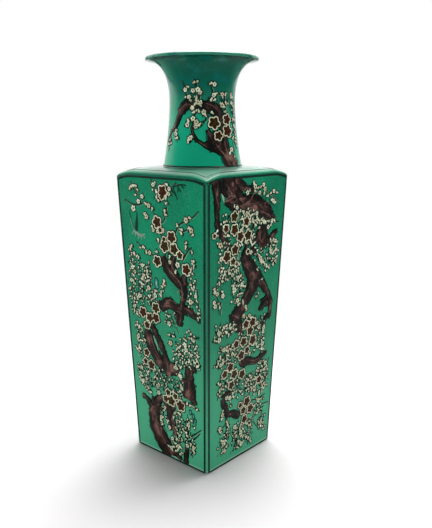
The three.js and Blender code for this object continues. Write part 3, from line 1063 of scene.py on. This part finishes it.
RIGHT = {
"trunks": """
-35 356 44, -35 350 42, -29 341 31, -26 331 28, -22 324 14, -24 318 4;
-44 331 9, -30 328 19, -14 325.5 22, 2 323 23, 14 320.5 23, 26 314.5 22, 35 311 19, 42 306 12,
48 302.5 7, 53 301 2;
-61 353 12, -60 345 11, -57.5 335 8.5, -57.5 325 7.5, -57 315 6.5, -56 306 7, -52 298 9, -46 290 9,
-40 283 7, -34 278 5, -28 274 2;
-22 350 8, -14 346 8, -6 342 7, 3 340 6, 9 338 4, 13 338 1.5;
33 303 8, 32 296 10, 28 288 21, 27 281 25, 28 274 23, 27 268 13;
37 273 10, 44 277 10, 50 282 8, 55 285 4, 58 286 1.5;
18 280 9, 11 280 8, 5 279 3;
4 270 5, 10 266 8, 14 261 5;
-1 279 5, -3 272 7, -5 265 12, -3 259 17, 1 252 20, 6 245 22, 11 238 23, 13 230 24, 11 222 23, 6 214 18,
-1 207 16, -8 200 17, -13 194 18, -15 187 19, -13 181 14, -10 174 9, -7 168 6, -3 163 3;
-2 200 12, -12 195 16, -21 191 15, -27 189.5 9, -30 189 3;
18 238 16, 24 230 15, 30 224 13, 36 217 10, 41 211 8, 46 204 8, 49 197 7, 49.5 190 6, 50 183 6, 49 177 5,
47 173 2;
45 196 10, 37 195 8, 31 192 7, 27 188 2.5;
50 180 5, 44 177 6, 37 171 6, 30 167 8, 22 168 6, 19 169 2;
28 200 1.5, 36 201 3, 43 205 5;
-8 130 3, -3 127 9, 4 127 13, 12 126 10, 22 122.5 7, 30 123 8, 38 127 8.5, 45 128 4, 48 128 1;
-37 91 5, -34 94.5 6.5, -28 95 5, -22 93 3;
-36 91 7, -35 85 8, -32 79 10, -29.5 73 9, -28 68 8.5, -25 63 5;
-26 66 6, -18 65 7, -12 62 9, -7 59 8, -4 55 4;
-13 110 3, -12 105 4, -7 104 1.5""",
"veins": """
-42 332, -35 335, -28 334, -24 330, -30 327, -36 329;
-16 322, -6 325, 2 328, 6 334, 11 336, 16 333;
36 319, 36 322, 32 323, 29 320, 31 317, 35 317;
22 312, 30 310, 40 305;
-4 319, 6 318, 14 313;
-46 350, -40 346, -38 340;
44 306, 50 304, 54 301;
-19 343, -15 341, -11 339;
-20 345, -14 343, -9 340;
-57 346, -59 336, -56 328;
24 289, 22 280, 28 274;
2 256, 8 246, 12 236;
8 228, 4 218, -2 211;
-26 194, -20 192, -12 186;
34 224, 40 215, 46 206;
52 196, 51 186;
6 130, 16 125, 28 124, 38 128;
-37 90, -34 82, -29 74;
-30 93, -26 91""",
"twigs": """
22 342, 34 334, 46 328, 60 321;
40 297, 50 297, 60 296;
-48 236, -54 228, -50 214, -48 200;
-46 214, -46 198;
-12 176, -30 174, -46 172, -58 168;
-12 150, -30 148, -44 142, -56 137;
-18 144, -34 136, -48 132;
-30 62, -28 45, -27 30, -26 20;
-38 108, -44 100, -47 92;
20 70, 32 68, 48 70;
20 56, 34 50, 46 46;
14 46, 24 40, 34 28;
30 56, 44 57, 56 56;
46 278, 54 270, 58 252, 54 242;
12 266, 22 254, 34 246, 46 240;
38 120, 44 104, 48 84;
2 50, -4 34, -10 20;
4 44, 8 28, 20 12""",
"dark_leaves": """
-12 100, -8 96;
-52 166, -60 170;
34 86, 42 80;
8 96, 14 92""",
"slivers": """
-50 339, -48 334, -45.5 329;
-48 337, -46 332""",
"blues": """
-7 97 3 1.8, -5 93 2.2 1.4""",
"scatters": """
-50 -34 274 312 26, -20 12 272 314 64, 8 34 294 306 16, -50 -12 232 262 40, -28 -6 206 236 24,
-55 -16 166 184 20, -50 -12 134 156 36, 18 42 134 178 34, -44 -28 98 118 14, -14 30 78 106 56,
28 52 78 120 34, -42 -22 16 58 26, -16 24 10 46 54, 22 44 40 60 12, 34 52 18 38 12, 12 46 238 270 26,
42 60 242 280 18, -30 -10 106 136 20, -6 24 144 182 20""",
"sprays": """
-22 262 -48 244 7, -30 254 -50 236 7, -14 252 -28 226 8, -8 240 -26 222 6, -4 232 -20 206 7,
-44 252 -56 226 7, -15 179 -58 167 9, -18 180 -44 180 6, -20 156 -48 154 6, -17 148 -57 136 9,
-20 142 -44 132 6, 22 156 42 138 7, 20 148 38 132 7, 24 170 40 160 5, 32 74 46 82 5, 22 96 32 116 6,
10 84 26 100 7, 12 104 22 82 6, 36 84 50 112 8, 40 82 46 118 9, -8 48 -16 24 7, 2 46 -2 18 8,
8 44 24 32 5, 4 28 24 12 7, -30 44 -36 22 6, -26 44 -30 18 7, -40 112 -46 98 5, -14 98 -24 86 5,
12 264 30 250 6, 26 250 46 240 7, 48 276 60 258 6, 44 268 50 256 4, 58 258 52 242 5, 8 302 34 298 8,
-4 312 12 300 6, -10 308 -14 292 5, 10 292 4 274 6, -30 286 -50 276 6, -8 284 -20 266 5, 24 62 46 66 5,
36 38 50 22 6""",
"buds": """
6 347 2.2, 9 343 3, 9 338 2, -5 337 2.8, -1 339 1.6, 15 341, 18 335 2.4, 20 342 1.6, 25 344 2.4,
28 339 2.8, 27 334, 34 330 2, 40 333, 46 335 2.4, 52 333, 42 325 2, 46 323 2.5, 50 321, -23 321 2.4,
-28 323 1.6, -17 317 1.6, -11 314 2, -5 313 2.4, -1 312, 2 308, 7 303 2.4, 14 311 2.6, 15 306 2,
18 303 2, 24 303 2.2, 29 301 2, 32 299 2, 38 299 2, 45 299 2.6, 50 299 2, 38 292 2.6, 43 294, 20 293 2,
12 297, -45 307, -41 308 1.6, -50 305 1.4, -56 298 2, -57 293 2, -46 302 1.4, -42 294 1.6, -37 291 2.2,
-55 284 1.5, -44 283 1.6, -48 265 3, -52 262 1.6, -50 271 1.6, -37 275, -20 280 1.6, -12 278 1.4,
5 278 2.2, 8 274, -5 279 2.2, 8 284, 6 265 2.6, 12 276, 14 270 1.6, 18 266 1.6, -51 252, -46 250 2,
-41 249 1.5, -33 246 2, -27 243 2.4, -22 252 1.6, -15 254 1.6, -20 247, -16 238 2.4, -11 240, -45 239,
-39 240, -50 236 1.6, -58 232 2, -57 228 2.4, -53 225 2.6, -44 226, -43 221 2.8, -58 216 2.4,
-56 211 2.8, -50 213 1.6, -48 208 2, -22 224 3, -25 229 1.6, -15 228, -9 229 2.4, -7 226 2, -3 225 2,
-9 218, -16 210 3, -14 205 2.2, -6 207, -5 204 1.4, 0 199 2.4, 2 195, -3 188 2.6, 8 186 2.4, 11 183,
3 184 1.6, -40 182 2, -35 183 2.2, -48 177 2.8, -44 176 1.6, -28 179 2, -22 181 1.6, -35 174, -30 171 2,
-24 173, -17 174 2, -47 168 3.2, -11 167 1.6, -10 162 1.6, 24 173 2.6, 20 171 1.4, 28 165 1.6,
38 163 2.8, 37 158 2.4, 39 149, 37 142 2.8, 36 136 2.4, 40 134, 27 141 2.2, 25 146 1.6, 20 138 1.4,
12 136 2.2, 18 146 1.6, -38 154 3, -33 152 2, -30 150 2, -25 151, -44 146 2, -48 141 1.6, -43 136 2.4,
-39 137 1.6, -40 142 1.4, -17 142 2.2, -12 147 1.6, -22 146 1.4, -46 114 2, -43 111 1.6, -44 104 1.6,
-38 108 1.4, -43 97, -30 90 2.6, -24 88 2.8, -18 92, -17 87, -12 93 1.6, -22 77, -23 83 1.4, -37 70 2.6,
-38 65 2, -36 75 1.6, -41 53 2.6, -39 48 1.6, -26 53 2.2, -24 49 1.4, -37 36 2, -34 32 2.8, -31 30 1.6,
-27 24, -30 19 2.4, -34 20 1.6, -22 38 1.5, -13 45 2.6, -10 42 1.6, -11 36, -9 31 2.4, -2 40, 0 33 2.6,
2 29, 6 35 1.4, 4 25 1.6, -4 20, 2 16 3, 6 18 1.6, 12 22 2.2, 16 19 2, 20 15, 22 11 1.6, -4 13 1.6,
13 40 1.6, 17 37 2.2, 20 35, 10 43 1.4, 28 50 1.6, 32 48, 35 51, 33 66 2.6, 37 66, 30 69 1.4, 35 76 2.2,
40 75, 43 79 1.6, 38 32 2, 42 35 2.2, 43 31 1.6, 47 30 1.6, 42 26 2, 48 20 2, 46 24 1.4, 42 118,
45 114 2.6, 48 109, 42 106 1.6, 50 104 1.6, 46 97, 50 93 1.6, 44 86 2.2, 47 83, 41 90 1.4, 36 106,
38 112 1.4, 31 118 1.6, 30 111 1.4, 0 99 1.6, 5 95 1.6, 12 93 1.6, -3 90 2, 0 85 1.5, 8 88 1.6,
14 106 2.2, 16 102 1.6, 20 98 1.4, 22 88, 25 82 2.2, 24 77 1.6, 18 84 1.4, 28 92 1.4, 10 100 1.4,
25 255 3, 22 259, 27 250 2, 34 247, 38 243 2.2, 42 241, 36 238 1.6, 50 275 2, 54 273 2.4, 58 271 1.6,
44 264 2.2, 46 260 3, 50 268 1.6, 57 262 2.2, 58 252 2, 57 247 2.2, 52 244, 50 251 1.4, 30 228 1.6,
20 208 2, 24 211 1.6""",
"roses": """
-50 281 3.6""",
"blossoms": """
-27 311 7.5, -26 296 8, -15 287 7.5, -1 286.5 8, -38 266 8, -24 272.5 7.5, -27 259 6, 2 176 7,
10.5 166 7.5, -15.5 155 6.5, -1.5 154.5 7.5, 16.5 152.5 8, -5 138 7.5, -25 128 7, -35 122 6.5,
-17 117 7.5, -2 112.5 7.5, -22 104 7, 33.5 94.5 6.5, -3 71 5, 10 72 8, 3.5 62 6.5, 17.5 60 7.5, 6.5 49 7,
-5 303.5 7, 0 267 4, -60.5 293 4, 15 176 7.5, 6 142 6, -20 255 3.5, -41 299 6""",
}

# On the neck x is the arc at the painting's radius, from the +X direction.
NECK = {
"trunks": """
2 364 28, -1 370 24, -5 376 18, -9 382 15, -15 388 16, -21 393 17, -25 399 11, -27 404 7, -29 408 2;
-22 390 10, -28 391 7, -33 391 2;
-9 388 13, -8.5 395 12, -9 402 7, -10.5 410 6, -12 418 7, -13 424 11, -18 429 14, -25 432.5 14,
-32 434.5 11, -39 435 9, -46 436 10, -52 436 12, -57 434 11, -61 431 10.5, -64.5 426 8.5, -67 419 7,
-70 413 6, -75 408.5 4, -80 404 3, -84 398 2.5, -87 391 1.5;
-14 385 8, -20 385 5, -27 387 3, -34 391 2.2, -41 396 1.8, -45 402 1.4, -47 408 1.2, -46 413 1;
9 366 6, 2 376 6, -3 384 6, -5 392 5""",
"veins": """
-2 366, -8 376, -14 384, -20 392;
6 366, 0 376, -6 385, -8 394;
-22 386, -17 388, -14 392, -18 395, -23 393;
-14 426, -20 433, -30 437;
-54 437, -62 431, -67 424;
-26 402, -24 396, -22 390;
12 366, 6 374;
-9 398, -10 408""",
"twigs": """
-51 440, -56 450, -59 459;
-37 440, -40 450, -43 464;
-40 452, -44 460;
-20 438, -22 450, -26 460;
-20 448, -8 446, -2 444;
-6 446, -3 436, -4 426;
-47 412, -46 420, -42 428;
-30 420, -34 414;
-84 402, -80 394, -83 386;
10 448, 9 434, 12 420, 14 400;
-36 432, -28 424""",
"dark_leaves": """
-56 456, -60 462;
-22 444, -28 443;
-30 418, -36 416;
-24 456, -22 462""",
"scatters": """
6 16 380 450 24, -50 -34 426 444 10, -10 0 426 446 6""",
"sprays": """
8 450 12 426 6, 13 416 16 388 7, -78 398 -84 384 4""",
"buds": """
-56 452 2.4, -52 455 1.6, -51 444 2.4, -44 460 1.6, -40 461 1.4, -46 451 2.4, -40 452 2.8, -37.5 449 2.4,
-42 443, -40 438 2.6, -37.5 436, -47 432 2.6, -45 427, -39 428, -33 427 2.8, -31 424, -23 427,
-46 420 2.6, -42 416 2.8, -42.5 411 2.4, -38.5 413 2, -53 413 2.6, -52 417 2, -49 398 2.6, -51 395 2,
-47 400 1.6, -69.5 403 2.6, -67 398 2.2, -69 407 1.6, -24 459, -20 458 2.4, -20.5 446 2.4, -24 441 2,
-17.5 448 1.6, -19 441, -9 447 2.4, -4 447, -9 435 2.8, -6 433 2, -3 438 2, -11 437, -4 428, 7 445 2.4,
9 437 2.2, 14 433 2, 2 385 2.6, -1.5 381 2.2, -36 439 1.6, -44 436 1.6, -49 440 1.6, 11 420 2, 13 412 2,
15 402, 12 394 1.6, -56 444 1.4, 6 376 1.6, -80 396, -83 391 1.6, -77 392 1.4""",
"blossoms": """
-20.5 415 8.5, -2 419 7.4, -2 406 8.4, -15.5 400.5 6.4""",
}


def tuples(text):
    """Tuples of numbers from text with commas between them."""
    return [tuple(map(float, item.split())) for item in text.split(",") if item.strip()]


def paint_panel(name, surface, seed, design, flip=1):
    """Paints one surface with a design, mirrored where flip is -1."""
    panel = Panel(name, surface, seed)

    def lines(kind):
        texts = design[kind].split(";") if kind in design else []
        return [[(flip * x, *rest) for x, *rest in tuples(text)] for text in texts]

    def items(kind):
        return tuples(design.get(kind, ""))

    for points in lines("trunks"):
        panel.trunk(points)
    for points in lines("twigs"):
        panel.twig(points)
    for kind, enamel, layer, columns, tone, step, width in (
        ("veins", panel.bark, VEIN, 2, 0.32, 1.2, 0.9),
        ("dark_leaves", panel.ink, DARK_LEAF, 1, 0.6, 1.5, 2.1),
        ("slivers", panel.pale, SLIVER, 2, 0.0, 1.5, 1.5),
        ("wings", panel.ink, WING, 2, 0.8, 1.5, None),
        ("bird", panel.blue, BIRD, 2, 1.0, 1.5, None),
    ):
        for points in lines(kind):
            path = [(x, y, *(own or [width])) for x, y, *own in smooth_path(points, step)]
            enamel.stroke(path, layer, columns, tone)
    for x, y, length, width in items("blues"):
        panel.edge.dab(flip * x, y, oval(width + 0.9, length + 0.9, 14), BRANCH_EDGE)
        panel.blue.dab(flip * x, y, oval(width, length, 14), BLUE_DAB)
        panel.pale.dab(flip * x, y, oval(0.3 * width, 0.6 * length, 10), BLUE_LIGHT)
    for x0, x1, y0, y1, count in items("scatters"):
        panel.scatter(*sorted((flip * x0, flip * x1)), y0, y1, count)
    for x0, y0, x1, y1, count in items("sprays"):
        panel.spray(flip * x0, y0, flip * x1, y1, int(count))
    for x, y, *radius in items("buds"):
        panel.bud(flip * x, y, BUD_SCALE * (radius[0] if radius else COMMON_BUD))
    for x, y, radius in items("roses"):
        panel.bud(flip * x, y, radius, tone=1.0)
    for x, y, radius in items("blossoms"):
        panel.blossom(flip * x, y, radius)
    panel.finish()


glaze_coat()
border_lines()
paint_panel("front", partial(painted_face, 0), 11, FRONT)
paint_panel("right", partial(painted_face, 1), 23, RIGHT)
paint_panel("back", partial(painted_face, 2), 37, FRONT, -1)
paint_panel("left", partial(painted_face, 3), 41, RIGHT, -1)
paint_panel("neck_front", partial(painted_neck, 0.0), 53, NECK)
paint_panel("neck_back", partial(painted_neck, math.pi * PAINT_RADIUS), 59, NECK)

# Finishes of the solids

for node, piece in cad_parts.items():
    glazed = node.startswith(("wall_", "shoulder", "neck"))
    for slot in piece.material_slots:
        slot.material = INNER if glazed else BISCUIT

# Camera, floor and lights

CAMERA_DISTANCE = 782.554
CAMERA_HEIGHT = 408.571
CAMERA_AZIMUTH = 42.65
CAMERA_PAN = 1.2
CAMERA_PITCH = 12.04
LENS = 43.24
SENSOR_WIDTH = 36

azimuth = math.radians(CAMERA_AZIMUTH)
camera_data = bpy.data.cameras.new("camera")
camera_data.lens = LENS
camera_data.sensor_width = SENSOR_WIDTH
camera = new_object("camera", camera_data)
camera.location = MM * Vector(
    (CAMERA_DISTANCE * math.sin(azimuth), -CAMERA_DISTANCE * math.cos(azimuth), CAMERA_HEIGHT)
)
camera.rotation_euler = (math.radians(90 - CAMERA_PITCH), 0, math.radians(CAMERA_AZIMUTH - CAMERA_PAN))
bpy.context.scene.camera = camera

# From here on lengths are in metres. A span is where a change begins and where it is complete.
WHITE = (1, 1, 1)
FLOOR_RADIUS = 4.0
FLOOR_SEEN = (0.92, 0.90, 0.912)
PAPER_NEAR = (0.66, 0.66, 0.64)
PAPER_MIRRORED = (0.15, 0.15, 0.15)
PAPER_FAR = (0.10, 0.10, 0.10)
PAPER_SPAN = (0.12, 1.0)
PLAIN_SPAN = (0.26, 0.6)
BACK_DIRECTION = (-0.844, 0.536, 0.0)
BACK_SPAN = (0.15, 0.7)
ROOM_FRONT = 0.03
BAND = (5.1, 5.1, 5.1)
SKY = (0.035, 0.035, 0.035)
SKY_SPAN = (0.04, 0.19)
LAMPS = (
    ("overhead", (-0.142, 0.327, 1.58), (0, 0, 0), 1.12, 42, True),
    ("left", (-1.98, -1.1, 0.1), (0, 0, 0.3), 0.9, 27, False),
    ("right", (0.3, 2.2, 0.25), (0, 0, 0.35), 0.9, 9, False),
)


def stage_floor():
    """White paper near the vase and plain white further off, which is dark for all but the camera."""
    mesh = bpy.data.meshes.new("floor")
    corners = [(*polar(0, 0, angle, FLOOR_RADIUS), 0) for angle in around(96)]
    mesh.from_pydata(corners, [], [tuple(range(len(corners)))])
    floor = new_object("floor", mesh)
    sheet = new_material("floor")
    paper = sheet.nodes["Principled BSDF"]
    sheet.feed(paper, {"Base Color": FLOOR_SEEN, "Roughness": 1.0, "Specular IOR Level": 0.0})
    away = sheet.node("VectorMath", {0: sheet.coordinate()}, "Value", "LENGTH")
    plain = sheet.node("Emission", {"Color": WHITE, "Strength": 1.0})
    seen = sheet.mix_shader(sheet.smooth_step(away, *PLAIN_SPAN), paper.outputs["BSDF"], plain)
    near = sheet.mix(sheet.node("LightPath", {}, "Is Glossy Ray"), PAPER_NEAR, PAPER_MIRRORED)
    dim = sheet.mix(sheet.smooth_step(away, *PAPER_SPAN), near, PAPER_FAR)
    otherwise = sheet.node("BsdfDiffuse", {"Color": dim})
    switch = sheet.mix_shader(sheet.node("LightPath", {}, "Is Camera Ray"), otherwise, seen)
    sheet.feed(sheet.nodes["Material Output"], {"Surface": switch})
    mesh.materials.append(sheet.owner)


def area_light(name, place, target, size, power, mirrored):
    data = bpy.data.lights.new(name, "AREA")
    data.shape = "DISK"
    data.size = size
    data.energy = power
    light = new_object(name, data)
    light.location = place
    light.rotation_euler = (Vector(target) - Vector(place)).to_track_quat("-Z", "Y").to_euler()
    light.visible_glossy = mirrored


def studio():
    """White for the camera, a white back in a dark room for reflections, and soft light from low down."""
    stage_floor()
    bpy.context.scene.world = bpy.data.worlds.new("studio")
    room = Shading(bpy.context.scene.world)
    way = room.coordinate("Generated")
    ambient = room.nodes["Background"]
    room.feed(ambient, {"Color": room.mix(room.height_share(*SKY_SPAN, way), BAND, SKY)})
    behind = room.node("VectorMath", {0: way, 1: BACK_DIRECTION}, "Value", "DOT_PRODUCT")
    backdrop = room.ramp(room.smooth_step(behind, *BACK_SPAN), [(0.0, ROOM_FRONT), (1.0, 1.0)])
    mirrored = room.mix_shader(
        room.node("LightPath", {}, "Is Glossy Ray"),
        ambient.outputs["Background"],
        room.node("Background", {"Color": backdrop}),
    )
    seen = room.node("Background", {"Color": WHITE})
    switch = room.mix_shader(room.node("LightPath", {}, "Is Camera Ray"), mirrored, seen)
    room.feed(room.nodes["World Output"], {"Surface": switch})
    for lamp in LAMPS:
        area_light(*lamp)


studio()
bpy.context.scene.view_settings.view_transform = "Standard"
